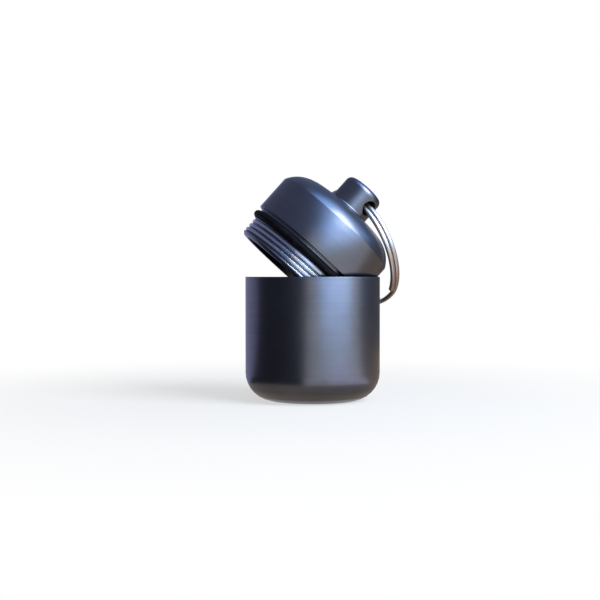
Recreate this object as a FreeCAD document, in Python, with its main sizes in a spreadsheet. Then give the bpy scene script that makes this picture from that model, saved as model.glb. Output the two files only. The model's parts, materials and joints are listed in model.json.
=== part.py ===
"""Screw-top capsule with a key ring, standing open: the lid lies tilted in the mouth of the case.

Millimetres. The origin is the centre of the case's foot, +Z is up, and -Y is the front.
"""

import FreeCAD, Part
import Sketcher
import math
import os

SIZES = {
    # the case, a turned cup
    "outer_diameter": 30.0,
    "case_height": 27.5,
    "floor_thickness": 1.5,
    "foot_round": 6.2,
    "inner_round": 4.0,
    "case_wall": 1.3,
    "lip_wall": 0.4,
    "lip_depth": 2.2,
    "edge_break": 0.1,
    # the lid, turned with its knob and neck
    "side_height": 8.15,
    "dome_height": 12.7,
    "dome_radius": 7.0,
    "dome_slope": 8.0,
    "knob_diameter": 9.4,
    "knob_height": 6.1,
    "knob_edge_round": 1.3,
    "knob_base_round": 0.4,
    "hole_diameter": 3.4,
    "hole_above_dome": 2.8,
    "hole_edge_round": 0.25,
    "lid_roof": 2.9,
    "lid_hollow_round": 3.0,
    # its neck, with a band for the thread and a groove for the seal; both clearances are from the lip
    "neck_length": 7.0,
    "thread_clearance": 0.5,
    "neck_end_chamfer": 0.6,
    "collar_height": 0.75,
    "collar_clearance": 0.45,
    "groove_depth": 0.7,
    "neck_wall": 0.95,
    # the seal, a rubber ring in the groove
    "seal_cord": 1.6,
    "seal_gap": 0.05,
    # the split ring, one flat wire in two turns
    "ring_diameter": 28.2,
    "wire_height": 1.05,
    "wire_width": 1.025,
    "turn_gap": 0.1,
    "wire_round": 0.2,
    "crossover_angle": 30.0,
    "end_gap_angle": 3.0,
    "crossover_turn": 111.0,
    # how the lid lies in the mouth, and how the ring hangs on it
    "lean_angle": 41.9,
    "lean_direction": 5.1,
    "hole_turn": -45.0,
    "rest_gap": 0.05,
    "ring_rest_gap": 0.1,
}

doc = FreeCAD.newDocument("capsule")
sheet = doc.addObject("Spreadsheet::Sheet", "sizes")
for row, (name, number) in enumerate(SIZES.items(), start=1):
    sheet.set(f"A{row}", name)
    sheet.set(f"B{row}", str(number))
    sheet.setAlias(f"B{row}", name)
doc.recompute()


class Size:
    """A number together with the sheet expression that gives it."""

    def __init__(self, value, text):
        self.value = value
        self.text = text

    def __add__(self, other):
        other = as_size(other)
        return Size(self.value + other.value, f"({self.text} + {other.text})")

    def __sub__(self, other):
        other = as_size(other)
        return Size(self.value - other.value, f"({self.text} - {other.text})")

    def __mul__(self, factor):
        return Size(self.value * factor, f"({self.text} * {factor})")

    def __truediv__(self, divisor):
        return Size(self.value / divisor, f"({self.text} / {divisor})")

    def __neg__(self):
        return self * -1


def as_size(item):
    """Give a plain number the same form as a size."""
    if isinstance(item, Size):
        return item
    return Size(float(item), str(float(item)))


def size(name):
    """Read one driving dimension from the sheet."""
    return Size(float(sheet.get(name)), f"sizes.{name}")


outer_radius = size("outer_diameter") / 2
case_height = size("case_height")
case_bore_radius = outer_radius - size("case_wall")
lip_radius = outer_radius - size("lip_wall")
edge_break = size("edge_break")

side_height = size("side_height")
dome_height = size("dome_height")
knob_radius = size("knob_diameter") / 2
knob_top = dome_height + size("knob_height")
hole_height = dome_height + size("hole_above_dome")
hollow_top = dome_height - size("lid_roof")
thread_radius = lip_radius - size("thread_clearance")
collar_radius = lip_radius - size("collar_clearance")
groove_radius = collar_radius - size("groove_depth")
hollow_radius = groove_radius - size("neck_wall")
neck_end = -size("neck_length")
groove_top = -size("collar_height")
groove_bottom = groove_top - size("seal_cord") - size("seal_gap") * 2


def new_body(label):
    """Start a solid made of sketches and features."""
    body = doc.addObject("PartDesign::Body", label)
    body.Label = label
    return body


def new_sketch(body, name, role):
    """Attach a sketch to one of the body's own origin planes."""
    sketch = body.newObject("Sketcher::SketchObject", name)
    plane = [item for item in body.Origin.OriginFeatures if item.Role == role][0]
    sketch.AttachmentSupport = [(plane, "")]
    sketch.MapMode = "FlatFace"
    return sketch


def bind(sketch, constraint, text):
    """Add a constraint and tie its value to the sheet."""
    index = sketch.addConstraint(constraint)
    sketch.setExpression(f"Constraints[{index}]", text)


def hold_point(sketch, line, end, across, up):
    """Fix one end of a line at a place given by two sizes."""
    if across.value == 0:
        sketch.addConstraint(Sketcher.Constraint("PointOnObject", line, end, -2))
    else:
        bind(sketch, Sketcher.Constraint("DistanceX", -1, 1, line, end, across.value), across.text)
    if up.value == 0:
        sketch.addConstraint(Sketcher.Constraint("PointOnObject", line, end, -1))
    else:
        bind(sketch, Sketcher.Constraint("DistanceY", -1, 1, line, end, up.value), up.text)


def draw_lines(sketch, corners, closed=True):
    """Draw straight lines from corner to corner, and hold every corner."""
    corners = [(as_size(across), as_size(up)) for across, up in corners]
    ends = corners[1:] + corners[:1] if closed else corners[1:]
    first = sketch.GeometryCount
    for start, end in zip(corners, ends):
        points = [FreeCAD.Vector(across.value, up.value, 0) for across, up in (start, end)]
        line = sketch.addGeometry(Part.LineSegment(*points))
        hold_point(sketch, line, 1, *start)
        if line > first:
            sketch.addConstraint(Sketcher.Constraint("Coincident", line - 1, 2, line, 1))
    last = sketch.GeometryCount - 1
    if closed:
        sketch.addConstraint(Sketcher.Constraint("Coincident", last, 2, first, 1))
    else:
        hold_point(sketch, last, 2, *corners[-1])
    return first, last


def revolve(body, sketch, name):
    """Turn a section about the vertical axis."""
    turned = body.newObject("PartDesign::Revolution", name)
    turned.Profile = sketch
    turned.ReferenceAxis = (sketch, ["V_Axis"])
    turned.Angle = 360
    doc.recompute()
    return turned


def ring_edges(feature, radius, height):
    """Name the level round edges of one radius at one height."""
    found = []
    for number, edge in enumerate(feature.Shape.Edges, start=1):
        curve = edge.Curve
        level = isinstance(curve, Part.Circle) and abs(abs(curve.Axis.z) - 1) < 1e-6
        if level and abs(curve.Radius - radius.value) < 1e-4 and abs(curve.Center.z - height.value) < 1e-4:
            found.append(f"Edge{number}")
    return found


def soften(body, feature, edges, radius, name):
    """Round the named edges of the last feature."""
    if not edges:
        raise ValueError(f"{name} finds no edge")
    softened = body.newObject("PartDesign::Fillet", name)
    softened.Base = (feature, edges)
    softened.setExpression("Radius", radius.text)
    doc.recompute()
    return softened


def make_case_body():
    """Turn the cup: round foot, flat floor, straight bore and a thin lip above it."""
    body = new_body("case_body")
    section = new_sketch(body, "case_section", "XZ_Plane")
    lip_bottom = case_height - size("lip_depth")
    step_bottom = lip_bottom - (lip_radius - case_bore_radius)
    floor = size("floor_thickness")
    draw_lines(section, [
        (0, 0),
        (outer_radius, 0),
        (outer_radius, case_height),
        (lip_radius, case_height),
        (lip_radius, lip_bottom),
        (case_bore_radius, step_bottom),
        (case_bore_radius, floor),
        (0, floor),
    ])
    cup = revolve(body, section, "case_turned")
    foot = soften(body, cup, ring_edges(cup, outer_radius, as_size(0)), size("foot_round"), "foot_rounded")
    bottom = soften(body, foot, ring_edges(foot, case_bore_radius, floor), size("inner_round"), "inside_rounded")
    soften(body, bottom, ring_edges(bottom, outer_radius, case_height), edge_break, "lip_edge_broken")
    return body


def dome_tangent_point():
    """Find where the cone under the knob runs into the dome's round edge."""
    slope = math.radians(size("dome_slope").value)
    radius = size("dome_radius").value
    along = FreeCAD.Vector(math.cos(slope), -math.sin(slope), 0)
    outwards = FreeCAD.Vector(math.sin(slope), math.cos(slope), 0)
    knob_corner = FreeCAD.Vector(knob_radius.value, dome_height.value, 0)
    side_corner = FreeCAD.Vector(outer_radius.value, side_height.value, 0)
    offset = knob_corner - side_corner
    half = along.dot(offset)
    reach = -half - math.sqrt(half ** 2 - offset.dot(offset) + 2 * radius * outwards.dot(offset))
    tangent = knob_corner + along * reach
    return tangent, tangent - outwards * radius


def make_lid():
    """Turn the lid with its knob, hollow and neck, then drill the knob across."""
    body = new_body("lid")
    section = new_sketch(body, "lid_section", "XZ_Plane")
    tangent, centre = dome_tangent_point()
    slope = size("dome_slope")
    knob_side = section.addGeometry(Part.LineSegment(
        FreeCAD.Vector(knob_radius.value, knob_top.value, 0),
        FreeCAD.Vector(knob_radius.value, dome_height.value, 0)))
    cone = section.addGeometry(Part.LineSegment(
        FreeCAD.Vector(knob_radius.value, dome_height.value, 0), tangent))
    start = math.atan2(side_height.value - centre.y, outer_radius.value - centre.x)
    end = math.atan2(tangent.y - centre.y, tangent.x - centre.x)
    circle = Part.Circle(centre, FreeCAD.Vector(0, 0, 1), size("dome_radius").value)
    edge = section.addGeometry(Part.ArcOfCircle(circle, start, end))
    hold_point(section, knob_side, 1, knob_radius, knob_top)
    hold_point(section, cone, 1, knob_radius, dome_height)
    section.addConstraint(Sketcher.Constraint("Coincident", knob_side, 2, cone, 1))
    section.addConstraint(Sketcher.Constraint("Tangent", cone, 2, edge, 2))
    bind(section, Sketcher.Constraint("Radius", edge, size("dome_radius").value), size("dome_radius").text)
    bind(section, Sketcher.Constraint("Angle", cone, math.radians(-slope.value)), f"{slope.text} * -1 deg")
    chamfer = size("neck_end_chamfer")
    first, last = draw_lines(section, [
        (outer_radius, side_height),
        (outer_radius, 0),
        (collar_radius, 0),
        (collar_radius, groove_top),
        (groove_radius, groove_top),
        (groove_radius, groove_bottom),
        (thread_radius, groove_bottom),
        (thread_radius, neck_end + chamfer),
        (thread_radius - chamfer, neck_end),
        (hollow_radius, neck_end),
        (hollow_radius, hollow_top),
        (0, hollow_top),
        (0, knob_top),
        (knob_radius, knob_top),
    ], closed=False)
    section.addConstraint(Sketcher.Constraint("Coincident", edge, 1, first, 1))
    lid = revolve(body, section, "lid_turned")

    hole = new_sketch(body, "hole_circle", "YZ_Plane")
    hole_radius = size("hole_diameter") / 2
    circle = Part.Circle(FreeCAD.Vector(0, hole_height.value, 0), FreeCAD.Vector(0, 0, 1), hole_radius.value)
    ring = hole.addGeometry(circle)
    bind(hole, Sketcher.Constraint("Radius", ring, hole_radius.value), hole_radius.text)
    hold_point(hole, ring, 3, as_size(0), hole_height)
    drilled = body.newObject("PartDesign::Pocket", "knob_drilled")
    drilled.Profile = hole
    drilled.Type = "ThroughAll"
    drilled.Midplane = True
    doc.recompute()
    if drilled.Shape.Volume > lid.Shape.Volume - hole_radius.value ** 2 * knob_radius.value:
        raise ValueError("the knob's hole cuts nothing")
    mouths = []
    for number, line in enumerate(drilled.Shape.Edges, start=1):
        box = line.BoundBox
        crosses = box.YLength > hole_radius.value and box.XMin * box.XMax > 0
        if crosses and box.ZMin > dome_height.value and box.ZMax < knob_top.value - 1e-6:
            mouths.append(f"Edge{number}")
    hole_done = soften(body, drilled, mouths, size("hole_edge_round"), "hole_mouths_rounded")
    top = soften(body, hole_done, ring_edges(hole_done, knob_radius, knob_top),
                 size("knob_edge_round"), "knob_top_rounded")
    foot = soften(body, top, ring_edges(top, knob_radius, dome_height), size("knob_base_round"), "knob_foot_rounded")
    roof = soften(body, foot, ring_edges(foot, hollow_radius, hollow_top),
                  size("lid_hollow_round"), "hollow_rounded")
    soften(body, roof, ring_edges(roof, outer_radius, as_size(0)), edge_break, "side_edge_broken")
    return body


def make_seal_ring():
    """Make the rubber ring that sits in the neck's groove."""
    seal = doc.addObject("Part::Torus", "seal_ring")
    seal.Label = "seal_ring"
    cord_radius = size("seal_cord") / 2
    seal.setExpression("Radius1", (groove_radius + size("seal_gap") + cord_radius).text)
    seal.setExpression("Radius2", cord_radius.text)
    doc.recompute()
    return seal


def wire_section(angle, level):
    """Draw the flat wire's rounded section at one angle round the ring."""
    outer = size("ring_diameter").value / 2
    inner = outer - size("wire_height").value
    half = size("wire_width").value / 2
    corner = size("wire_round").value
    bend = corner * (1 - math.sqrt(0.5))

    def place(radius, height):
        return FreeCAD.Vector(radius * math.cos(angle), radius * math.sin(angle), level + height)

    edges = []
    turns = [(outer, half, -1, -1), (inner, half, 1, -1), (inner, -half, 1, 1), (outer, -half, -1, 1)]
    stops = []
    for number, (radius, height, inwards, downwards) in enumerate(turns):
        on_side = place(radius, height + downwards * corner)
        on_face = place(radius + inwards * corner, height)
        middle = place(radius + inwards * bend, height + downwards * bend)
        ends = (on_side, on_face) if number % 2 == 0 else (on_face, on_side)
        edges.append(Part.Arc(ends[0], middle, ends[1]).toShape())
        stops.append(ends)
    for number, (_, leaves) in enumerate(stops):
        arrives = stops[(number + 1) % 4][0]
        edges.append(Part.LineSegment(leaves, arrives).toShape())
    return Part.Wire(Part.__sortEdges__(edges))


# sections that the loft of the wire's crossover runs through, the ends not counted twice
CROSSOVER_SECTIONS = 12


def make_split_ring():
    """Wind the key ring: two flat turns side by side, joined where the wire crosses over."""
    ring = doc.addObject("Part::Feature", "split_ring")
    ring.Label = "split_ring"
    step = size("wire_width").value + size("turn_gap").value
    crossover = size("crossover_angle").value
    gap = size("end_gap_angle").value
    start = size("crossover_turn").value
    flat_turn = 360 - crossover - gap
    up = FreeCAD.Vector(0, 0, 1)
    centre = FreeCAD.Vector(0, 0, 0)
    first_face = Part.Face(wire_section(math.radians(start), step / 2))
    first_turn = first_face.revolve(centre, up, -flat_turn)
    second_face = Part.Face(wire_section(math.radians(start + crossover), -step / 2))
    second_turn = second_face.revolve(centre, up, flat_turn)
    sections = []
    for number in range(CROSSOVER_SECTIONS + 1):
        share = number / CROSSOVER_SECTIONS
        level = step * (0.5 - share * share * (3 - 2 * share))
        sections.append(wire_section(math.radians(start + crossover * share), level))
    bend = Part.makeLoft(sections, True, False)
    wire = first_turn.fuse([bend, second_turn]).removeSplitter()
    if len(wire.Solids) != 1:
        raise ValueError("the wire isn't one piece")
    ring.Shape = wire.Solids[0]
    return ring


def lid_seat():
    """Work out where the leaning lid comes to rest in the mouth.

    Its side wall leans on the lip at one side, and the end of its neck catches the lip at two places
    across from there. Both contacts give one equation for how high the neck's shoulder stays.
    """
    lean = math.radians(size("lean_angle").value)
    sine, cosine, slope = math.sin(lean), math.cos(lean), math.tan(lean)
    gap = size("rest_gap").value
    lip = lip_radius.value
    side = lip - (outer_radius.value + gap) / cosine
    chamfer = size("neck_end_chamfer").value
    neck_corners = [
        (thread_radius.value, neck_end.value + chamfer),
        (thread_radius.value - chamfer, neck_end.value),
    ]
    heights = []
    for radius, along in neck_corners:
        start = side + along / sine
        rate = slope + 1 / slope
        square = rate ** 2 - 1 / sine ** 2
        half_linear = start * rate - along / (sine * slope)
        constant = start ** 2 - (along / slope) ** 2 - (lip - gap) ** 2 + radius ** 2
        heights.append((-half_linear - math.sqrt(half_linear ** 2 - square * constant)) / square)
    above_lip = max(heights)
    return side + above_lip * slope, case_height.value + above_lip


def turned(axis, degrees, base=FreeCAD.Vector(0, 0, 0)):
    """A placement that turns about an axis and then moves."""
    return FreeCAD.Placement(base, FreeCAD.Rotation(axis, degrees))


X_AXIS = FreeCAD.Vector(1, 0, 0)
Y_AXIS = FreeCAD.Vector(0, 1, 0)
Z_AXIS = FreeCAD.Vector(0, 0, 1)


def lid_placement():
    """Lean the lid in the mouth, and turn it so that the knob's hole lies as it should."""
    across, height = lid_seat()
    lean = turned(Y_AXIS, size("lean_angle").value, FreeCAD.Vector(across, 0, height))
    return turned(Z_AXIS, size("lean_direction").value) * lean * turned(Z_AXIS, size("hole_turn").value)


def ring_centre_offset():
    """How far the ring's centre hangs from the hole, so that the wire bows evenly in it."""
    middle_radius = (size("ring_diameter").value - size("wire_height").value) / 2
    bow = middle_radius - math.sqrt(middle_radius ** 2 - knob_radius.value ** 2)
    return middle_radius - bow / 2


def ring_placement(lid_place, drop):
    """Hang the ring in the hole, turned down from level by an angle."""
    at_hole = FreeCAD.Placement(FreeCAD.Vector(0, 0, hole_height.value), FreeCAD.Rotation())
    outwards = FreeCAD.Placement(FreeCAD.Vector(0, ring_centre_offset(), 0), FreeCAD.Rotation(Z_AXIS, -90))
    return lid_place * at_hole * turned(X_AXIS, -drop) * outwards


# the ring is lowered from level towards this angle, and each step halves what is left
LOWEST_DROP = 80.0
DROP_STEPS = 12


def ring_rest_drop(lid_place):
    """Lower the ring from level until it comes to rest on the dome's edge or on the case."""
    radius = size("ring_diameter").value / 2
    width = size("wire_width").value * 2 + size("turn_gap").value
    low = FreeCAD.Vector(0, 0, -width / 2)
    hoop = Part.makeCylinder(radius, width, low).cut(
        Part.makeCylinder(radius - size("wire_height").value, width, low))
    tangent, centre = dome_tangent_point()
    bottom = FreeCAD.Vector(outer_radius.value, 0, 0)
    corner = FreeCAD.Vector(outer_radius.value, side_height.value, 0)
    middle_angle = (math.atan2(corner.y - centre.y, corner.x - centre.x)
                    + math.atan2(tangent.y - centre.y, tangent.x - centre.x)) / 2
    middle = centre + FreeCAD.Vector(math.cos(middle_angle), math.sin(middle_angle), 0) * size("dome_radius").value
    knob_foot = FreeCAD.Vector(knob_radius.value, dome_height.value, 0)
    axis_foot = FreeCAD.Vector(0, dome_height.value, 0)
    axis_bottom = FreeCAD.Vector(0, 0, 0)
    outline = Part.Wire([
        Part.LineSegment(axis_bottom, bottom).toShape(),
        Part.LineSegment(bottom, corner).toShape(),
        Part.Arc(corner, middle, tangent).toShape(),
        Part.LineSegment(tangent, knob_foot).toShape(),
        Part.LineSegment(knob_foot, axis_foot).toShape(),
        Part.LineSegment(axis_foot, axis_bottom).toShape(),
    ])
    dome = Part.Face(outline).revolve(FreeCAD.Vector(0, 0, 0), Y_AXIS, 360)
    dome.Placement = lid_place * turned(X_AXIS, 90)
    cup = Part.makeCylinder(outer_radius.value, case_height.value)
    clear, blocked = 0.0, LOWEST_DROP
    for _ in range(DROP_STEPS):
        drop = (clear + blocked) / 2
        hoop.Placement = ring_placement(lid_place, drop)
        if min(hoop.distToShape(rest)[0] for rest in (dome, cup)) > size("ring_rest_gap").value:
            clear = drop
        else:
            blocked = drop
    return clear


case_body = make_case_body()
lid = make_lid()
seal_ring = make_seal_ring()
split_ring = make_split_ring()

lid_place = lid_placement()
lid.Placement = lid_place
seal_height = (groove_top.value + groove_bottom.value) / 2
seal_ring.Placement = lid_place * FreeCAD.Placement(FreeCAD.Vector(0, 0, seal_height), FreeCAD.Rotation())
ring_drop = ring_rest_drop(lid_place)
split_ring.Placement = ring_placement(lid_place, ring_drop)
doc.recompute()

for item in doc.Objects:
    if "Invalid" in item.State or "Error" in item.State:
        raise ValueError(f"{item.Name} didn't compute: {item.State}")

os.makedirs("parts", exist_ok=True)
for piece in (case_body, lid, seal_ring, split_ring):
    shape = piece.Shape
    if shape.isNull() or not shape.isValid():
        raise ValueError(f"{piece.Label} isn't a valid solid")
    shape.exportStep(f"parts/{piece.Label}.step")
    print(piece.Label, "volume", round(shape.Volume, 2), "solids", len(shape.Solids), "faces", len(shape.Faces))

hole_centre = lid_place.multVec(FreeCAD.Vector(0, 0, hole_height.value))
hole_axis = lid_place.Rotation.multVec(X_AXIS)
print("lid at", lid_place.Base, "ring drop", round(ring_drop, 2))
print("hole centre", hole_centre, "axis", hole_axis)
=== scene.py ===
"""A turned aluminium capsule with a key ring, standing open in soft studio light.

In the part's own frame, +Z is up, -Y is the front, and the case's foot is centred on the origin. Sizes are
written in millimetres for the camera and the pieces, and in metres for the studio. Angles are in degrees.
"""

import json
import math

import bmesh
import bpy
from mathutils import Matrix, Vector


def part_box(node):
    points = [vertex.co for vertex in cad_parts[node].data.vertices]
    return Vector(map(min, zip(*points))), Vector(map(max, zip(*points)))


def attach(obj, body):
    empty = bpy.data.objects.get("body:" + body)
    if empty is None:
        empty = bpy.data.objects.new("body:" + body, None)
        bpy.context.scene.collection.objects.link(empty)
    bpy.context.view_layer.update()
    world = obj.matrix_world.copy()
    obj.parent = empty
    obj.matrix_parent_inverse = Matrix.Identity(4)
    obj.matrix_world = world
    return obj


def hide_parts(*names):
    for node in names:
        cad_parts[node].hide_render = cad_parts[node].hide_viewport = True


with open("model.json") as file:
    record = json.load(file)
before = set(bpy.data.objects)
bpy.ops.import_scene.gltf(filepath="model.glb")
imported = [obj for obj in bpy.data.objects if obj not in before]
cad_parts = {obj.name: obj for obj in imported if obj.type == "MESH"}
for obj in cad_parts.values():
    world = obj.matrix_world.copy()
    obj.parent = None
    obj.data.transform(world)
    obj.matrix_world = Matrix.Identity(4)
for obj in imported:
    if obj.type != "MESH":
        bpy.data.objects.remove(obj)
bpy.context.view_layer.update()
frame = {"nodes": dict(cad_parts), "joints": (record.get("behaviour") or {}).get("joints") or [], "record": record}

# The picture is taken level with the case's rim, from about 24 cm away, with a short telephoto lens.
# The capsule stands a little right of the middle, so the camera aims beside it and a little below its rim.
MM = 0.001
CAMERA_PLACE = Vector((0, -240, 27.5)) * MM
CAMERA_AIM = Vector((-2.82, 0, 22.3)) * MM
CAMERA_LENS = 64.4
CAMERA_NEAREST = 10

camera_data = bpy.data.cameras.new("camera")
camera_data.lens = CAMERA_LENS
camera_data.clip_start = CAMERA_NEAREST * MM
camera = bpy.data.objects.new("camera", camera_data)
camera.location = CAMERA_PLACE
camera.rotation_euler = (CAMERA_AIM - CAMERA_PLACE).to_track_quat("-Z", "Y").to_euler()
bpy.context.scene.collection.objects.link(camera)
bpy.context.scene.camera = camera
bpy.context.scene.view_settings.view_transform = "Standard"

# The capsule stands on a pale table in a white room, and two soft windows light it from the front right.
# Curved dark and coloured cards, seen only in reflections, stand for the rest of a furnished room.
TABLE_COLOUR = (0.74, 0.73, 0.72, 1)
TABLE_HALF_WIDTH = 6.0
TABLE_WHITENING = 0.60
TABLE_FADE_START = 0.02
TABLE_FADE_END = 0.13
ROOM_COLOUR = (0.30, 0.31, 0.34, 1)
WHITE = (1, 1, 1, 1)
LIGHT_TARGET = Vector((0, 0, 0.025))
CARD_DISTANCE = 0.75
CARD_FOOT = 0.001
CARD_STEP = 5


class Signal:
    """An output of a node, so that maths on it can be written as an expression."""

    def __init__(self, tree, made, output=None):
        self.tree = tree
        self.made = made
        self.socket = made.outputs[output] if output else next(out for out in made.outputs if out.enabled)

    def __getitem__(self, output):
        return Signal(self.tree, self.made, output)

    def maths(self, operation, *others):
        """Do one step of maths that starts from this output."""
        return self.tree.maths(operation, self, *others)

    def __add__(self, other):
        return self.maths("ADD", other)

    def __sub__(self, other):
        return self.maths("SUBTRACT", other)

    def __rsub__(self, other):
        return self.tree.maths("SUBTRACT", other, self)

    def __mul__(self, other):
        return self.maths("MULTIPLY", other)

    def __truediv__(self, other):
        return self.maths("DIVIDE", other)

    def __rtruediv__(self, other):
        return self.tree.maths("DIVIDE", other, self)

    def __pow__(self, other):
        return self.maths("POWER", other)

    def __rpow__(self, other):
        return self.tree.maths("POWER", other, self)

    __radd__ = __add__
    __rmul__ = __mul__

    def fades(self, start, end):
        """Go from 0 at start to 1 at end, smoothly."""
        return self.tree.node(
            "ShaderNodeMapRange",
            {"interpolation_type": "SMOOTHSTEP"},
            {"Value": self, "From Min": start, "From Max": end},
        )


class Tree:
    """The nodes of a material, of the world or of a geometry modifier, added one at a time."""

    def __init__(self, node_tree):
        self.nodes = node_tree.nodes
        self.links = node_tree.links

    def node(self, kind, settings=None, inputs=None):
        """Add a node, set its settings, then give its sockets their values or links."""
        made = self.nodes.new(kind)
        for name, value in (settings or {}).items():
            setattr(made, name, value)
        for name, value in (inputs or {}).items():
            if isinstance(name, int):
                socket = made.inputs[name]
            else:
                socket = next(entry for entry in made.inputs if entry.enabled and entry.name == name)
            if isinstance(value, Signal):
                self.links.new(value.socket, socket)
            else:
                socket.default_value = value
        return Signal(self, made) if made.outputs else made

    def maths(self, operation, *values):
        """Add a step of maths on values, outputs or both."""
        return self.node("ShaderNodeMath", {"operation": operation}, dict(enumerate(values)))

    def mix(self, share, first, second):
        """Mix two colours."""
        return self.node("ShaderNodeMix", {"data_type": "RGBA"}, {"Factor": share, "A": first, "B": second})


def new_material(name):
    """Start a material and clear its nodes."""
    material = bpy.data.materials.new(name)
    material.use_nodes = True
    material.node_tree.nodes.clear()
    return material, Tree(material.node_tree)


def shows_background(tree):
    """True for the rays that show the background: the camera's, and those off metal and through glass."""
    path = tree.node("ShaderNodeLightPath")
    mirrored = path["Is Glossy Ray"].maths("MAXIMUM", path["Is Transmission Ray"])
    return path["Is Camera Ray"].maths("MAXIMUM", mirrored)


table_mesh = bpy.data.meshes.new("table_top")
draft = bmesh.new()
bmesh.ops.create_grid(draft, x_segments=1, y_segments=1, size=TABLE_HALF_WIDTH)
draft.to_mesh(table_mesh)
draft.free()
table = bpy.data.objects.new("table_top", table_mesh)
bpy.context.scene.collection.objects.link(table)

# The table looks partly white beside the capsule, where it keeps a soft shadow, and all white farther off.
material, tree = new_material("pale_table")
place = tree.node("ShaderNodeTexCoord")["Object"]
distance = tree.node("ShaderNodeVectorMath", {"operation": "LENGTH"}, {0: place})["Value"]
far = distance.fades(TABLE_FADE_START, TABLE_FADE_END)
matt = tree.node("ShaderNodeBsdfDiffuse", {}, {"Color": TABLE_COLOUR})
glow = tree.node("ShaderNodeEmission", {}, {"Color": WHITE, "Strength": 1.0})
share = shows_background(tree) * (far * (1 - TABLE_WHITENING) + TABLE_WHITENING)
surface = tree.node("ShaderNodeMixShader", {}, {0: share, 1: matt, 2: glow})
tree.node("ShaderNodeOutputMaterial", {}, {"Surface": surface})
table_mesh.materials.append(material)

world = bpy.data.worlds.new("room")
bpy.context.scene.world = world
world.use_nodes = True
world.node_tree.nodes.clear()
tree = Tree(world.node_tree)
room = tree.mix(shows_background(tree), ROOM_COLOUR, WHITE)
background = tree.node("ShaderNodeBackground", {}, {"Color": room, "Strength": 1.0})
tree.node("ShaderNodeOutputWorld", {}, {"Surface": background})


def direction(azimuth, elevation):
    """The way that leads from the capsule, at an azimuth counted from the camera towards the right."""
    turn, lift = math.radians(azimuth), math.radians(elevation)
    return Vector((math.sin(turn) * math.cos(lift), -math.cos(turn) * math.cos(lift), math.sin(lift)))


def softbox(name, azimuth, elevation, distance, width, height, power, colour):
    """Hang a soft lamp and aim it at the capsule."""
    lamp = bpy.data.lights.new(name, "AREA")
    lamp.shape = "RECTANGLE"
    lamp.size = width
    lamp.size_y = height
    lamp.energy = power
    lamp.color = colour
    holder = bpy.data.objects.new(name, lamp)
    away = direction(azimuth, elevation)
    holder.location = LIGHT_TARGET + away * distance
    holder.rotation_euler = (-away).to_track_quat("-Z", "Y").to_euler()
    holder.visible_camera = False
    bpy.context.scene.collection.objects.link(holder)


def card(name, azimuths, elevations, colour):
    """Stand a curved card round the capsule, seen only in reflections. Low down it bends along the table."""
    across = range(azimuths[0], azimuths[1] + 1, CARD_STEP)
    upwards = range(elevations[0], elevations[1] + 1, CARD_STEP)
    points = []
    for elevation in upwards:
        for azimuth in across:
            away = direction(azimuth, elevation)
            reach = CARD_DISTANCE
            if away.z < 0:
                reach = min(reach, (CARD_FOOT - LIGHT_TARGET.z) / away.z)
            points.append(LIGHT_TARGET + away * reach)
    width = len(across)
    faces = []
    for row in range(len(upwards) - 1):
        for column in range(width - 1):
            corner = row * width + column
            faces.append((corner, corner + 1, corner + width + 1, corner + width))
    mesh = bpy.data.meshes.new(name)
    mesh.from_pydata(points, [], faces)
    material, tree = new_material(name)
    paper = tree.node("ShaderNodeEmission", {}, {"Color": (*colour, 1), "Strength": 1.0})
    tree.node("ShaderNodeOutputMaterial", {}, {"Surface": paper})
    mesh.materials.append(material)
    holder = bpy.data.objects.new(name, mesh)
    bpy.context.scene.collection.objects.link(holder)
    holder.visible_camera = False
    holder.visible_diffuse = False
    holder.visible_shadow = False


softbox("high_window", azimuth=53, elevation=36, distance=0.55, width=0.36, height=0.35, power=4.0,
        colour=(0.90, 0.96, 1.0))
softbox("front_window", azimuth=40, elevation=11, distance=0.50, width=0.50, height=0.34, power=1.85,
        colour=(0.29, 0.53, 1.0))

# Each card spans some azimuths and some elevations, and its colour is as bright as it shows.
card("black_card", (-105, -10), (-60, 20), (0.05, 0.05, 0.07))
card("violet_card", (-180, -105), (-60, 20), (0.45, 0.46, 0.75))
card("dim_card", (-180, 5), (20, 90), (0.18, 0.20, 0.33))
card("blue_card", (5, 105), (15, 50), (0.6, 1.2, 2.6))
card("sky_card", (5, 115), (50, 90), (1.0, 2.0, 4.2))
card("shade_card", (105, 180), (15, 90), (0.20, 0.26, 0.45))
card("right_card", (85, 180), (-15, 15), (0.13, 0.13, 0.15))
card("glow_card", (20, 80), (-55, -25), (1.25, 1.20, 1.50))
card("warm_card", (80, 180), (-60, -10), (0.45, 0.34, 0.26))
card("low_card", (-180, 80), (-65, -50), (0.40, 0.35, 0.33))
card("foot_card", (-180, 180), (-85, -60), (0.50, 0.41, 0.34))

# The case is a cup, turned from an aluminium bar and anodised gunmetal grey after fine bead blasting.
# Its floor and wall are one piece. A thin lip at the mouth leads to the female thread below it.
CASE_RADIUS = 15.0
CASE_HEIGHT = 27.5
CASE_FLOOR = 1.5
FOOT_ROUND = 6.2
INNER_ROUND = 4.0
BORE_RADIUS = 13.7
LIP_RADIUS = 14.6
LIP_DEPTH = 2.2
EDGE_ROUND = 0.12
THREAD_PITCH = 1.1
THREAD_DEPTH = 0.36
THREAD_CREST_START = 0.62
THREAD_ROWS = 20
THREAD_RUN_OUT = 0.4
CASE_THREAD_LAND = 0.3
CASE_THREAD_LENGTH = 4.6
STEPS_ROUND = 256
ARC_STEP = 12
ARC_FEWEST = 3
TURNED_SHARP_ANGLE = 55

# These only take up rounding. The distance for merging points is in metres.
CLOSE_ENOUGH = 1e-6
MERGE_DISTANCE = 1e-7
DIVISION_GUARD = 1e-4

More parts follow.
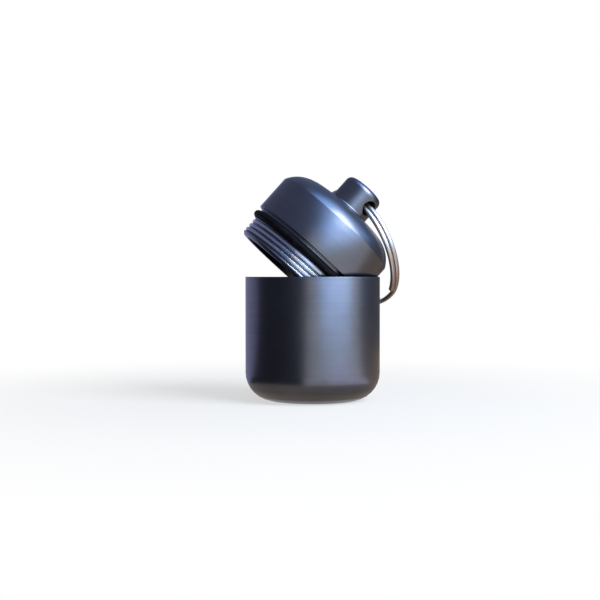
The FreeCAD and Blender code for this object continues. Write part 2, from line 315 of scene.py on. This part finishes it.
# The finish: its colours, the sizes of its marks, and how far each mark shifts colour, roughness and relief.
ALUMINIUM = (0.160, 0.163, 0.178, 1)
ALUMINIUM_DEEP = (0.128, 0.131, 0.146, 1)
BARE_EDGE = (0.56, 0.59, 0.64, 1)
BARE_SHARE = 0.8
BLAST_GRAIN = 0.11
TURNING_FINE = 0.16
TURNING_BROAD = 0.9
TURNING_RAGGED = 0.6
CLOUD_SIZE = 7
MARK_FADE = (0.3, 0.7)
CLOUD_DEEPENS = 0.5
BROAD_DEEPENS = 0.3
SATIN_ROUGHNESS = 0.33
GRAIN_ROUGHENS = 0.10
BROAD_ROUGHENS = 0.08
FINE_ROUGHENS = 0.05
CREST_POLISH = 0.10
GRAIN_RELIEF = 0.5
FINE_RELIEF = 0.35
BROAD_RELIEF = 0.6
SATIN_BUMP = 0.10
SATIN_BUMP_DEPTH = 0.04
NOISE_MIDDLE = 0.5


def outline(corners):
    """Join corners (across, up, round) by straight lines, with each round as an arc."""
    points = []
    for number, (across, up, radius) in enumerate(corners):
        corner = Vector((across, up))
        if radius == 0:
            points.append(corner)
            continue
        before = (Vector(corners[number - 1][:2]) - corner).normalized()
        after = (Vector(corners[number + 1][:2]) - corner).normalized()
        half = before.angle(after) / 2
        centre = corner + (before + after).normalized() * (radius / math.sin(half))
        start = corner + before * (radius / math.tan(half)) - centre
        sweep = start.angle_signed(corner + after * (radius / math.tan(half)) - centre)
        steps = max(ARC_FEWEST, math.ceil(abs(math.degrees(sweep)) / ARC_STEP))
        for step in range(steps + 1):
            points.append(centre + Matrix.Rotation(-sweep * step / steps, 2) @ start)
    return points


def with_thread(points, top, bottom, phase):
    """Mark an outline's points as plain, and put the thread's rows between its top and its bottom.

    A row reaches half a pitch past both ends, because it climbs by a pitch as it goes round.
    """
    marked = []
    for number, point in enumerate(points):
        marked.append((point.x, 0, point.y))
        if abs(point.y - top) > CLOSE_ENOUGH or abs(points[number + 1].y - bottom) > CLOSE_ENOUGH:
            continue
        first = math.ceil((top / THREAD_PITCH + 0.5 + phase) * THREAD_ROWS)
        last = math.floor((bottom / THREAD_PITCH - 0.5 + phase) * THREAD_ROWS)
        for row in range(first, last - 1, -1):
            marked.append((point.x, 1, (row / THREAD_ROWS - phase) * THREAD_PITCH))
    return marked


def new_geometry_tree(name, inputs):
    """Start a geometry tree with its named inputs and one output, the piece."""
    data = bpy.data.node_groups.new(name, "GeometryNodeTree")
    for label, kind in inputs.items():
        data.interface.new_socket(label, in_out="INPUT", socket_type=kind)
    data.interface.new_socket("Piece", in_out="OUTPUT", socket_type="NodeSocketGeometry")
    return data, Tree(data)


def make_lathe():
    """The geometry tree that turns an outline about Z and cuts a helical thread between two heights.

    A point of the outline holds its radius in X, its height in Z, and in Y a 1 on the thread's rows.
    """
    data, tree = new_geometry_tree("turn_and_thread", {
        "Outline": "NodeSocketGeometry",
        "Steps": "NodeSocketInt",
        "Thread top": "NodeSocketFloat",
        "Thread bottom": "NodeSocketFloat",
        "Pitch": "NodeSocketFloat",
        "Depth": "NodeSocketFloat",
        "Run out": "NodeSocketFloat",
        "Phase": "NodeSocketFloat",
        "Side": "NodeSocketFloat",
        "Finish": "NodeSocketMaterial",
    })
    given = tree.node("NodeGroupInput")
    points = tree.node("GeometryNodeAttributeDomainSize", {"component": "MESH"},
                       {"Geometry": given["Outline"]})["Point Count"]
    grid = tree.node("GeometryNodeMeshGrid", {},
                     {"Vertices X": given["Steps"] + 1, "Vertices Y": points})["Mesh"]

    # A column of the grid holds the outline once. The half is there because an index drops its fraction.
    index = tree.node("GeometryNodeInputIndex")
    column = (index / points + DIVISION_GUARD).maths("FLOOR")
    row = index - column * points + 0.5
    position = tree.node("GeometryNodeInputPosition")
    section = tree.node("GeometryNodeSampleIndex", {"data_type": "FLOAT_VECTOR", "domain": "POINT"},
                        {"Geometry": given["Outline"], "Value": position, "Index": row})
    parts = tree.node("ShaderNodeSeparateXYZ", {}, {"Vector": section})
    angle = column / given["Steps"] * math.tau
    threaded = parts["Y"]

    # A row of the thread keeps its place on the thread's wave, and climbs by a pitch in one turn. The top of
    # the wave, from THREAD_CREST_START up, is the flat crest.
    turn = (parts["Z"] / given["Pitch"] + given["Phase"]) * math.tau
    ridge = (turn.maths("COSINE") * 0.5 + 0.5).fades(0.0, THREAD_CREST_START)
    climbed = parts["Z"] + (angle / math.tau - 0.5) * given["Pitch"]
    climbed = climbed.maths("MINIMUM", given["Thread top"]).maths("MAXIMUM", given["Thread bottom"])
    height = parts["Z"] * (1 - threaded) + climbed * threaded
    below = (given["Thread top"] - height) / given["Run out"]
    above = (height - given["Thread bottom"]) / given["Run out"]
    cut = threaded * below.fades(0.0, 1.0) * above.fades(0.0, 1.0)
    radius = parts["X"] - given["Side"] * given["Depth"] * cut * (1 - ridge)

    across = radius * angle.maths("COSINE")
    along = radius * angle.maths("SINE")
    place = tree.node("ShaderNodeCombineXYZ", {}, {"X": across, "Y": along, "Z": height})
    turned = tree.node("GeometryNodeSetPosition", {}, {"Geometry": grid, "Position": place})
    named = tree.node("GeometryNodeStoreNamedAttribute", {"data_type": "FLOAT", "domain": "POINT"},
                      {"Geometry": turned, "Name": "crest", "Value": cut * ridge})
    named = tree.node("GeometryNodeStoreNamedAttribute", {"data_type": "FLOAT", "domain": "POINT"},
                      {"Geometry": named, "Name": "thread", "Value": cut})
    closed = tree.node("GeometryNodeMergeByDistance", {}, {"Geometry": named, "Distance": MERGE_DISTANCE})
    real = tree.node("GeometryNodeRealizeInstances", {}, {"Geometry": closed})
    done = tree.node("GeometryNodeSetMaterial", {}, {"Geometry": real, "Material": given["Finish"]})
    tree.node("NodeGroupOutput", {}, {"Piece": done})
    return data


def from_nodes(name, mesh, group, values):
    """Run a geometry tree on a mesh and give its result as a plain mesh."""
    source = bpy.data.objects.new(name + "_source", mesh)
    bpy.context.scene.collection.objects.link(source)
    modifier = source.modifiers.new("nodes", "NODES")
    modifier.node_group = group
    sockets = {item.name: item.identifier for item in group.interface.items_tree if item.in_out == "INPUT"}
    for key, value in values.items():
        modifier[sockets[key]] = value
    evaluated = source.evaluated_get(bpy.context.evaluated_depsgraph_get())
    result = bpy.data.meshes.new_from_object(evaluated)
    result.name = name
    source.modifiers.clear()
    bpy.data.objects.remove(source)
    return result


lathe = make_lathe()


def turned_mesh(name, points, thread_top, thread_bottom, phase, side, metal):
    """Turn an outline given in millimetres into a closed mesh in metres, and cut its thread.

    The side is 1.0 for a thread on the outside and -1.0 for one in a bore.
    """
    rows = with_thread(points, thread_top, thread_bottom, phase)
    edges = [(number, number + 1) for number in range(len(rows) - 1)]
    section = bpy.data.meshes.new(name + "_section")
    section.from_pydata([(across * MM, threaded, up * MM) for across, threaded, up in rows], edges, [])
    return from_nodes(name, section, lathe, {
        "Steps": STEPS_ROUND,
        "Thread top": thread_top * MM,
        "Thread bottom": thread_bottom * MM,
        "Pitch": THREAD_PITCH * MM,
        "Depth": THREAD_DEPTH * MM,
        "Run out": THREAD_RUN_OUT * MM,
        "Phase": phase,
        "Side": side,
        "Finish": metal,
    })


def finish_piece(name, mesh, sharp_angle):
    """Point the faces outwards, smooth what is round, and make the object."""
    draft = bmesh.new()
    draft.from_mesh(mesh)
    bmesh.ops.recalc_face_normals(draft, faces=draft.faces)
    draft.to_mesh(mesh)
    draft.free()
    mesh.shade_smooth()
    mesh.set_sharp_from_angle(angle=math.radians(sharp_angle))
    piece = bpy.data.objects.new(name, mesh)
    bpy.context.scene.collection.objects.link(piece)
    return piece


def in_place(tree, place):
    """A point of the surface in the piece's own frame, whose Z is the axis that it is made round."""
    point = tree.node("ShaderNodeTexCoord")["Object"]
    return tree.node("ShaderNodeMapping", {"vector_type": "TEXTURE"}, {
        "Vector": point, "Location": place.to_translation(), "Rotation": place.to_euler()})


def off_axis(tree, point):
    """How far a point lies from the piece's axis, and how far along it."""
    parts = tree.node("ShaderNodeSeparateXYZ", {}, {"Vector": point})
    return (parts["X"] * parts["X"] + parts["Y"] * parts["Y"]) ** 0.5, parts["Z"]


def noise(tree, point, size, detail, dimensions="3D"):
    """Soft noise, with marks of about the size given."""
    return tree.node("ShaderNodeTexNoise", {"noise_dimensions": dimensions}, {
        "Vector": point, "Scale": 1 / (size * MM), "Detail": detail})["Fac"]


def anodised(name, place):
    """Satin gunmetal: blasted grain, faint turning marks round the axis, and brighter crests.

    The marks change neither roughness nor relief on the thread, which is too fine to carry them.
    """
    material, tree = new_material(name)
    local = in_place(tree, place)
    radius, height = off_axis(tree, local)
    along = height - radius

    def turning(size, detail):
        return tree.node("ShaderNodeTexNoise", {"noise_dimensions": "1D"}, {
            "W": along, "Scale": 1 / (size * MM), "Detail": detail, "Roughness": TURNING_RAGGED})["Fac"]

    fine = turning(TURNING_FINE, detail=1.0)
    broad = turning(TURNING_BROAD, detail=2.0)
    grain = noise(tree, local, BLAST_GRAIN, detail=1.0)
    cloud = noise(tree, local, CLOUD_SIZE, detail=3.0)
    bare = tree.node("ShaderNodeAttribute", {"attribute_name": "crest"})["Fac"].fades(*MARK_FADE)
    plain = 1 - tree.node("ShaderNodeAttribute", {"attribute_name": "thread"})["Fac"]
    deep = cloud.fades(*MARK_FADE) * CLOUD_DEEPENS + broad.fades(*MARK_FADE) * BROAD_DEEPENS
    colour = tree.mix(bare * BARE_SHARE, tree.mix(deep, ALUMINIUM, ALUMINIUM_DEEP), BARE_EDGE)
    marks = ((grain - NOISE_MIDDLE) * GRAIN_ROUGHENS + (broad - NOISE_MIDDLE) * BROAD_ROUGHENS
             + (fine - NOISE_MIDDLE) * FINE_ROUGHENS)
    rough = SATIN_ROUGHNESS + marks * plain - bare * CREST_POLISH
    relief = (grain * GRAIN_RELIEF + fine * FINE_RELIEF + broad * BROAD_RELIEF) * plain
    bump = tree.node("ShaderNodeBump", {}, {
        "Height": relief, "Strength": SATIN_BUMP, "Distance": SATIN_BUMP_DEPTH * MM})
    metal = tree.node("ShaderNodeBsdfPrincipled", {}, {
        "Base Color": colour, "Metallic": 1.0, "Roughness": rough, "Normal": bump})
    tree.node("ShaderNodeOutputMaterial", {}, {"Surface": metal})
    return material


bore_top = CASE_HEIGHT - LIP_DEPTH - (LIP_RADIUS - BORE_RADIUS)
thread_top = bore_top - CASE_THREAD_LAND
thread_bottom = thread_top - CASE_THREAD_LENGTH
case_outline = outline([
    (0, 0, 0),
    (CASE_RADIUS, 0, FOOT_ROUND),
    (CASE_RADIUS, CASE_HEIGHT, EDGE_ROUND),
    (LIP_RADIUS, CASE_HEIGHT, EDGE_ROUND / 2),
    (LIP_RADIUS, CASE_HEIGHT - LIP_DEPTH, EDGE_ROUND / 2),
    (BORE_RADIUS, bore_top, EDGE_ROUND),
    (BORE_RADIUS, thread_top, 0),
    (BORE_RADIUS, thread_bottom, 0),
    (BORE_RADIUS, CASE_FLOOR, INNER_ROUND),
    (0, CASE_FLOOR, 0),
])
case_metal = anodised("anodised_case", Matrix.Identity(4))
case_mesh = turned_mesh("case", case_outline, thread_top, thread_bottom,
                        phase=0.0, side=-1.0, metal=case_metal)
case = finish_piece("case", case_mesh, TURNED_SHARP_ANGLE)
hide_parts("case_body")
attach(case, "capsule")

# The lid is turned from one bar with its knob and its threaded neck, and anodised like the case.
# The knob is drilled across for the key ring, and a groove above the thread holds the seal.
SIDE_HEIGHT = 8.15
DOME_HEIGHT = 12.7
DOME_RADIUS = 7.0
DOME_SLOPE = 8
DOME_STEPS = 18
KNOB_RADIUS = 4.7
KNOB_HEIGHT = 6.1
KNOB_EDGE_ROUND = 1.3
KNOB_BASE_ROUND = 0.4
HOLE_ABOVE_DOME = 2.8
HOLE_RADIUS = 1.7
HOLE_EDGE = 0.25
HOLLOW_RADIUS = 12.5
HOLLOW_TOP = 9.8
HOLLOW_ROUND = 3.0
NECK_LENGTH = 7.0
NECK_RADIUS = 14.1
NECK_CHAMFER = 0.6
COLLAR_RADIUS = 14.15
UNDERCUT_HEIGHT = 0.3
UNDERCUT_DEPTH = 0.35
COLLAR_HEIGHT = 0.75
GROOVE_RADIUS = 13.45
GROOVE_HEIGHT = 1.7
NECK_THREAD_TOP = -2.6
NECK_THREAD_BOTTOM = -6.38
NECK_CREST_HEIGHT = -3.08

# Each mouth of the hole is made in a window of the knob's wall, which spans WINDOW_STEPS to either side.
WINDOW_STEPS = 21
WINDOW_ROW = 0.11
WINDOW_ABOVE_DOME = 0.5
MOUTH_RINGS = 9
MOUTH_BENDS = 5
HOLE_LENGTHS = 6

# The lid's place follows from the knob's hole, which the key ring swings in, and from the seal's middle.
hole_joint = next(joint for joint in frame["joints"] if joint["name"] == "ring_swing")
hole_centre = Vector(hole_joint["pos_m"])
seal_low, seal_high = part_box("seal_ring")
lid_up = (hole_centre - (seal_low + seal_high) / 2).normalized()
lid_right = Vector(hole_joint["axis"]).normalized()
lid_right = (lid_right - lid_up * lid_right.dot(lid_up)).normalized()
lid_back = lid_up.cross(lid_right)
lid_base = hole_centre - lid_up * (DOME_HEIGHT + HOLE_ABOVE_DOME) * MM
lid_place = Matrix.Translation(lid_base) @ Matrix((lid_right, lid_back, lid_up)).transposed().to_4x4()


def dome_arc():
    """The dome's round edge, from the cone under the knob, which it leaves smoothly, to the side's top."""
    slope = math.radians(DOME_SLOPE)
    down = Vector((math.cos(slope), -math.sin(slope)))
    outwards = Vector((math.sin(slope), math.cos(slope)))
    knob_corner = Vector((KNOB_RADIUS, DOME_HEIGHT))
    side_corner = Vector((CASE_RADIUS, SIDE_HEIGHT))
    offset = knob_corner - side_corner
    half = down.dot(offset)
    reach = -half - math.sqrt(half ** 2 - offset.dot(offset) + 2 * DOME_RADIUS * outwards.dot(offset))
    centre = knob_corner + down * reach - outwards * DOME_RADIUS
    start = math.atan2(outwards.y, outwards.x)
    end = math.atan2(side_corner.y - centre.y, side_corner.x - centre.x)
    angles = [start + (end - start) * step / DOME_STEPS for step in range(DOME_STEPS + 1)]
    return [centre + Vector((math.cos(angle), math.sin(angle))) * DOME_RADIUS for angle in angles]


window_low = DOME_HEIGHT + WINDOW_ABOVE_DOME
window_high = DOME_HEIGHT + KNOB_HEIGHT - KNOB_EDGE_ROUND


def lid_section():
    """The lid's outline, from the knob's top down the outside, round the neck and up the hollow."""
    dome = dome_arc()
    rows = math.ceil((window_high - window_low) / WINDOW_ROW)
    drop = window_low - window_high
    window = [(KNOB_RADIUS, window_high + drop * row / rows, 0) for row in range(1, rows + 1)]
    knob = outline([
        (0, DOME_HEIGHT + KNOB_HEIGHT, 0),
        (KNOB_RADIUS, DOME_HEIGHT + KNOB_HEIGHT, KNOB_EDGE_ROUND),
        *window,
        (KNOB_RADIUS, DOME_HEIGHT, KNOB_BASE_ROUND),
        (*dome[0], 0),
    ])
    groove_top = -COLLAR_HEIGHT
    groove_bottom = groove_top - GROOVE_HEIGHT
    neck = outline([
        (*dome[-1], 0),
        (CASE_RADIUS, 0, EDGE_ROUND),
        (COLLAR_RADIUS - UNDERCUT_DEPTH, 0, 0),
        (COLLAR_RADIUS - UNDERCUT_DEPTH, -UNDERCUT_HEIGHT, 0),
        (COLLAR_RADIUS, -UNDERCUT_HEIGHT, EDGE_ROUND),
        (COLLAR_RADIUS, groove_top, EDGE_ROUND),
        (GROOVE_RADIUS, groove_top, EDGE_ROUND),
        (GROOVE_RADIUS, groove_bottom, EDGE_ROUND),
        (NECK_RADIUS, groove_bottom, EDGE_ROUND),
        (NECK_RADIUS, NECK_THREAD_TOP, 0),
        (NECK_RADIUS, NECK_THREAD_BOTTOM, 0),
        (NECK_RADIUS, NECK_CHAMFER - NECK_LENGTH, 0),
        (NECK_RADIUS - NECK_CHAMFER, -NECK_LENGTH, EDGE_ROUND),
        (HOLLOW_RADIUS, -NECK_LENGTH, EDGE_ROUND),
        (HOLLOW_RADIUS, HOLLOW_TOP, HOLLOW_ROUND),
        (0, HOLLOW_TOP, 0),
    ])
    return knob[:-1] + dome[:-1] + neck


def drill_knob(mesh):
    """Drill the knob across, and round both mouths of the hole.

    At each mouth the window's faces give way to rings that lead from the window's edge to the hole.
    """
    radius = KNOB_RADIUS * MM
    hole_height = (DOME_HEIGHT + HOLE_ABOVE_DOME) * MM
    low = window_low * MM - CLOSE_ENOUGH
    high = window_high * MM + CLOSE_ENOUGH
    half_window = math.tau * (WINDOW_STEPS + 0.5) / STEPS_ROUND
    draft = bmesh.new()
    draft.from_mesh(mesh)
    edges = {}
    for side in (1, -1):
        window = set()
        for vert in draft.verts:
            x, y, z = vert.co
            on_wall = abs(math.hypot(x, y) - radius) < CLOSE_ENOUGH and low < z < high
            if on_wall and abs(math.atan2(y, x * side)) < half_window:
                window.add(vert)
        faces = [face for face in draft.faces if all(vert in window for vert in face.verts)]
        metal = faces[0].material_index
        uses = {}
        for face in faces:
            for edge in face.edges:
                uses[edge] = uses.get(edge, 0) + 1
        border = {vert for edge, count in uses.items() if count == 1 for vert in edge.verts}
        bmesh.ops.delete(draft, geom=faces, context="FACES")
        edges[side] = sorted(border, key=lambda vert: math.atan2(vert.co.z - hole_height, vert.co.y))

    hole = HOLE_RADIUS * MM
    mouth = HOLE_EDGE * MM
    turns = [math.atan2(vert.co.z - hole_height, vert.co.y) for vert in edges[1]]
    spans = [math.hypot(vert.co.z - hole_height, vert.co.y) for vert in edges[1]]

    def on_knob(turn, span):
        """How far across the knob its wall lies, at a turn and a span from the hole's axis."""
        return math.sqrt(radius ** 2 - (span * math.cos(turn)) ** 2)

    def rings(side):
        """The rings from the window's edge in to the hole's wall, as rows of (across, turn, span)."""
        rows = []
        for step in range(1, MOUTH_RINGS + 1):
            row = []
            for turn, span in zip(turns, spans):
                reach = span + (hole + mouth - span) * step / MOUTH_RINGS
                row.append((side * on_knob(turn, reach), turn, reach))
            rows.append(row)
        for bend in range(1, MOUTH_BENDS + 1):
            share = bend / MOUTH_BENDS
            row = []
            for turn in turns:
                start = Vector((hole + mouth, on_knob(turn, hole + mouth)))
                corner = Vector((hole, on_knob(turn, hole)))
                end = corner - Vector((0, mouth))
                weight = math.sin((start - corner).angle(end - corner) / 2)
                blend = ((1 - share) ** 2, 2 * weight * share * (1 - share), share ** 2)
                point = (start * blend[0] + corner * blend[1] + end * blend[2]) / sum(blend)
                row.append((side * point.y, turn, point.x))
            rows.append(row)
        return rows

    def add(rows):
        """Add the points of the rows to the mesh."""
        made = []
        for row in rows:
            made.append([draft.verts.new((x, span * math.cos(turn), hole_height + span * math.sin(turn)))
                         for x, turn, span in row])
        return made

    near = rings(1)
    far = rings(-1)
    through = []
    for step in range(1, HOLE_LENGTHS):
        share = step / HOLE_LENGTHS
        through.append([(first[0] + (last[0] - first[0]) * share, first[1], hole)
                        for first, last in zip(near[-1], far[-1])])
    rows = [edges[1]] + add(near) + add(through) + add(far[::-1]) + [edges[-1]]
    count = len(turns)
    for first, second in zip(rows, rows[1:]):
        for number in range(count):
            following = (number + 1) % count
            wall = draft.faces.new((first[number], first[following], second[following], second[number]))
            wall.material_index = metal
    draft.to_mesh(mesh)
    draft.free()


# The phase puts a crest of the thread at NECK_CREST_HEIGHT on the neck's front.
front = lid_place.to_3x3().inverted() @ Vector((0, -1, 0))
neck_phase = math.atan2(front.y, front.x) % math.tau / math.tau - 0.5 - NECK_CREST_HEIGHT / THREAD_PITCH
lid_metal = anodised("anodised_lid", lid_place)
lid_mesh = turned_mesh("screw_lid", lid_section(), NECK_THREAD_TOP, NECK_THREAD_BOTTOM,
                       phase=neck_phase, side=1.0, metal=lid_metal)
drill_knob(lid_mesh)
lid_mesh.transform(lid_place)
lid = finish_piece("screw_lid", lid_mesh, TURNED_SHARP_ANGLE)
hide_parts("lid")
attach(lid, "capsule")

# The seal is a moulded rubber ring, stretched into the groove above the thread. Its cord stands proud of
# the collar, so that it presses on the plain lip of the case when the lid is screwed home.
RUBBER = (0.003, 0.003, 0.004, 1)
RUBBER_DUSTY = (0.007, 0.007, 0.008, 1)
BLOOM_SIZE = 2.5
BLOOM_FADE = (0.45, 0.75)
BLOOM_ROUGHENS = 0.2
RUBBER_GRAIN = 0.08
RUBBER_ROUGHNESS = 0.6
RUBBER_GLOSS = 0.05
RUBBER_BUMP = 0.25
RUBBER_BUMP_DEPTH = 0.02


def rubber():
    """Matt black rubber with a very slight bloom."""
    material, tree = new_material("seal_rubber")
    point = tree.node("ShaderNodeTexCoord")["Object"]
    bloom = noise(tree, point, BLOOM_SIZE, detail=4.0)
    fine = noise(tree, point, RUBBER_GRAIN, detail=2.0)
    colour = tree.mix(bloom.fades(*BLOOM_FADE), RUBBER, RUBBER_DUSTY)
    rough = RUBBER_ROUGHNESS + (bloom - NOISE_MIDDLE) * BLOOM_ROUGHENS
    bump = tree.node("ShaderNodeBump", {}, {
        "Height": fine, "Strength": RUBBER_BUMP, "Distance": RUBBER_BUMP_DEPTH * MM})
    surface = tree.node("ShaderNodeBsdfPrincipled", {}, {
        "Base Color": colour, "Roughness": rough, "Specular IOR Level": RUBBER_GLOSS, "Normal": bump})
    tree.node("ShaderNodeOutputMaterial", {}, {"Surface": surface})
    return material


def dress(node, material):
    """Give a piece of the frame its finish, in every slot."""
    piece = frame["nodes"][node]
    if not piece.data.materials:
        piece.data.materials.append(material)
    for slot in piece.material_slots:
        slot.material = material


dress("seal_ring", rubber())

# The key ring is one plated steel wire, nearly square with slightly crowned faces, wound two turns. It is
# threaded through the knob, and hangs against the dome's edge. Drawing marks run along the wire.
RING_RADIUS = 14.1
WIRE_HEIGHT = 1.05
WIRE_WIDTH = 1.025
WIRE_SQUARENESS = 2.9
TURN_GAP = 0.1
CROSSOVER_START = 111
CROSSOVER = 30
END_GAP = 3
RING_STEPS = 684
WIRE_STEPS = 40
WIRE_SHARP_ANGLE = 40
STEEL = (0.42, 0.38, 0.34, 1)
STEEL_WARM = (0.45, 0.36, 0.29, 1)
WARM_FADE = (0.35, 0.7)
WARM_PATCH = 3
DRAWING_MARK = 0.3
STEEL_GRAIN = 0.6
PLATED_ROUGHNESS = 0.35
PATCH_ROUGHENS = 0.10
DRAWING_ROUGHENS = 0.03
DRAWING_RELIEF = 0.8
STEEL_GRAIN_RELIEF = 0.3
STEEL_BUMP = 0.05
STEEL_BUMP_DEPTH = 0.03


def make_winder():
    """The geometry tree that winds a wire two turns round Z, with a crossover from one turn to the next."""
    data, tree = new_geometry_tree("wind_wire", {
        "Steps": "NodeSocketInt",
        "Section steps": "NodeSocketInt",
        "Middle radius": "NodeSocketFloat",
        "Turn step": "NodeSocketFloat",
        "Start": "NodeSocketFloat",
        "Crossover": "NodeSocketFloat",
        "End gap": "NodeSocketFloat",
        "Height": "NodeSocketFloat",
        "Width": "NodeSocketFloat",
        "Squareness": "NodeSocketFloat",
        "Finish": "NodeSocketMaterial",
    })
    given = tree.node("NodeGroupInput")
    index = tree.node("GeometryNodeInputIndex")

    flat_turn = math.tau - given["Crossover"] - given["End gap"]
    sweep = flat_turn * 2 + given["Crossover"]
    angle = given["Start"] - flat_turn + sweep * (index / given["Steps"])
    crossed = ((angle - given["Start"]) / given["Crossover"]).fades(0.0, 1.0)
    place = tree.node("ShaderNodeCombineXYZ", {}, {
        "X": given["Middle radius"] * angle.maths("COSINE"),
        "Y": given["Middle radius"] * angle.maths("SINE"),
        "Z": given["Turn step"] * (0.5 - crossed),
    })
    line = tree.node("GeometryNodeMeshLine", {}, {"Count": given["Steps"] + 1})
    path = tree.node("GeometryNodeSetPosition", {}, {"Geometry": line, "Position": place})
    curve = tree.node("GeometryNodeMeshToCurve", {}, {"Mesh": path})
    level = tree.node("GeometryNodeSetCurveNormal", {"mode": "Z_UP"}, {"Curve": curve})

    turn = index / given["Section steps"] * math.tau
    crown = 2 / given["Squareness"]

    def crowned(share, length):
        """Push a circle's point out towards the side of a square that has crowned faces."""
        return share.maths("SIGN") * share.maths("ABSOLUTE") ** crown * length / 2

    edge = tree.node("ShaderNodeCombineXYZ", {}, {
        "X": crowned(turn.maths("COSINE"), given["Width"]),
        "Y": crowned(turn.maths("SINE"), given["Height"]),
    })
    circle = tree.node("GeometryNodeCurvePrimitiveCircle", {}, {"Resolution": given["Section steps"]})
    section = tree.node("GeometryNodeSetPosition", {}, {"Geometry": circle, "Position": edge})
    wire = tree.node("GeometryNodeCurveToMesh", {},
                     {"Curve": level, "Profile Curve": section, "Fill Caps": True})
    real = tree.node("GeometryNodeRealizeInstances", {}, {"Geometry": wire})
    done = tree.node("GeometryNodeSetMaterial", {}, {"Geometry": real, "Material": given["Finish"]})
    tree.node("NodeGroupOutput", {}, {"Piece": done})
    return data


def plated_steel(place):
    """Bright plated wire with drawing marks along it and a warm cast here and there."""
    material, tree = new_material("ring_steel")
    local = in_place(tree, place)
    radius, height = off_axis(tree, local)
    section = tree.node("ShaderNodeCombineXYZ", {}, {"X": radius, "Y": height})
    drawn = noise(tree, section, DRAWING_MARK, detail=2.0, dimensions="2D")
    patch = noise(tree, local, WARM_PATCH, detail=3.0)
    grain = noise(tree, local, STEEL_GRAIN, detail=1.0)
    colour = tree.mix(patch.fades(*WARM_FADE), STEEL, STEEL_WARM)
    marks = (patch - NOISE_MIDDLE) * PATCH_ROUGHENS + (drawn - NOISE_MIDDLE) * DRAWING_ROUGHENS
    rough = PLATED_ROUGHNESS + marks
    relief = drawn * DRAWING_RELIEF + grain * STEEL_GRAIN_RELIEF
    bump = tree.node("ShaderNodeBump", {}, {
        "Height": relief, "Strength": STEEL_BUMP, "Distance": STEEL_BUMP_DEPTH * MM})
    metal = tree.node("ShaderNodeBsdfPrincipled", {}, {
        "Base Color": colour, "Metallic": 1.0, "Roughness": rough, "Normal": bump})
    tree.node("ShaderNodeOutputMaterial", {}, {"Surface": metal})
    return material


# The ring's place follows from the far end of its loop, where something would hang from it.
hang = next(mount for mount in frame["record"]["mounts"] if mount["name"] == "ring_hang")
ring_down = Vector(hang["axis"]).normalized()
ring_right = Vector(hole_joint["axis"]).normalized()
ring_right = (ring_right - ring_down * ring_right.dot(ring_down)).normalized()
ring_centre = Vector(hang["pos_m"]) - ring_down * (RING_RADIUS - WIRE_HEIGHT) * MM
ring_axes = Matrix((-ring_down, ring_right, ring_right.cross(ring_down))).transposed()
ring_place = Matrix.Translation(ring_centre) @ ring_axes.to_4x4()
ring_mesh = from_nodes("key_ring_wire", bpy.data.meshes.new("ring_source"), make_winder(), {
    "Steps": RING_STEPS,
    "Section steps": WIRE_STEPS,
    "Middle radius": (RING_RADIUS - WIRE_HEIGHT / 2) * MM,
    "Turn step": (WIRE_WIDTH + TURN_GAP) * MM,
    "Start": math.radians(CROSSOVER_START),
    "Crossover": math.radians(CROSSOVER),
    "End gap": math.radians(END_GAP),
    "Height": WIRE_HEIGHT * MM,
    "Width": WIRE_WIDTH * MM,
    "Squareness": WIRE_SQUARENESS,
    "Finish": plated_steel(ring_place),
})
ring_mesh.transform(ring_place)
key_ring = finish_piece("key_ring_wire", ring_mesh, WIRE_SHARP_ANGLE)
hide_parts("split_ring")
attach(key_ring, "key_ring")
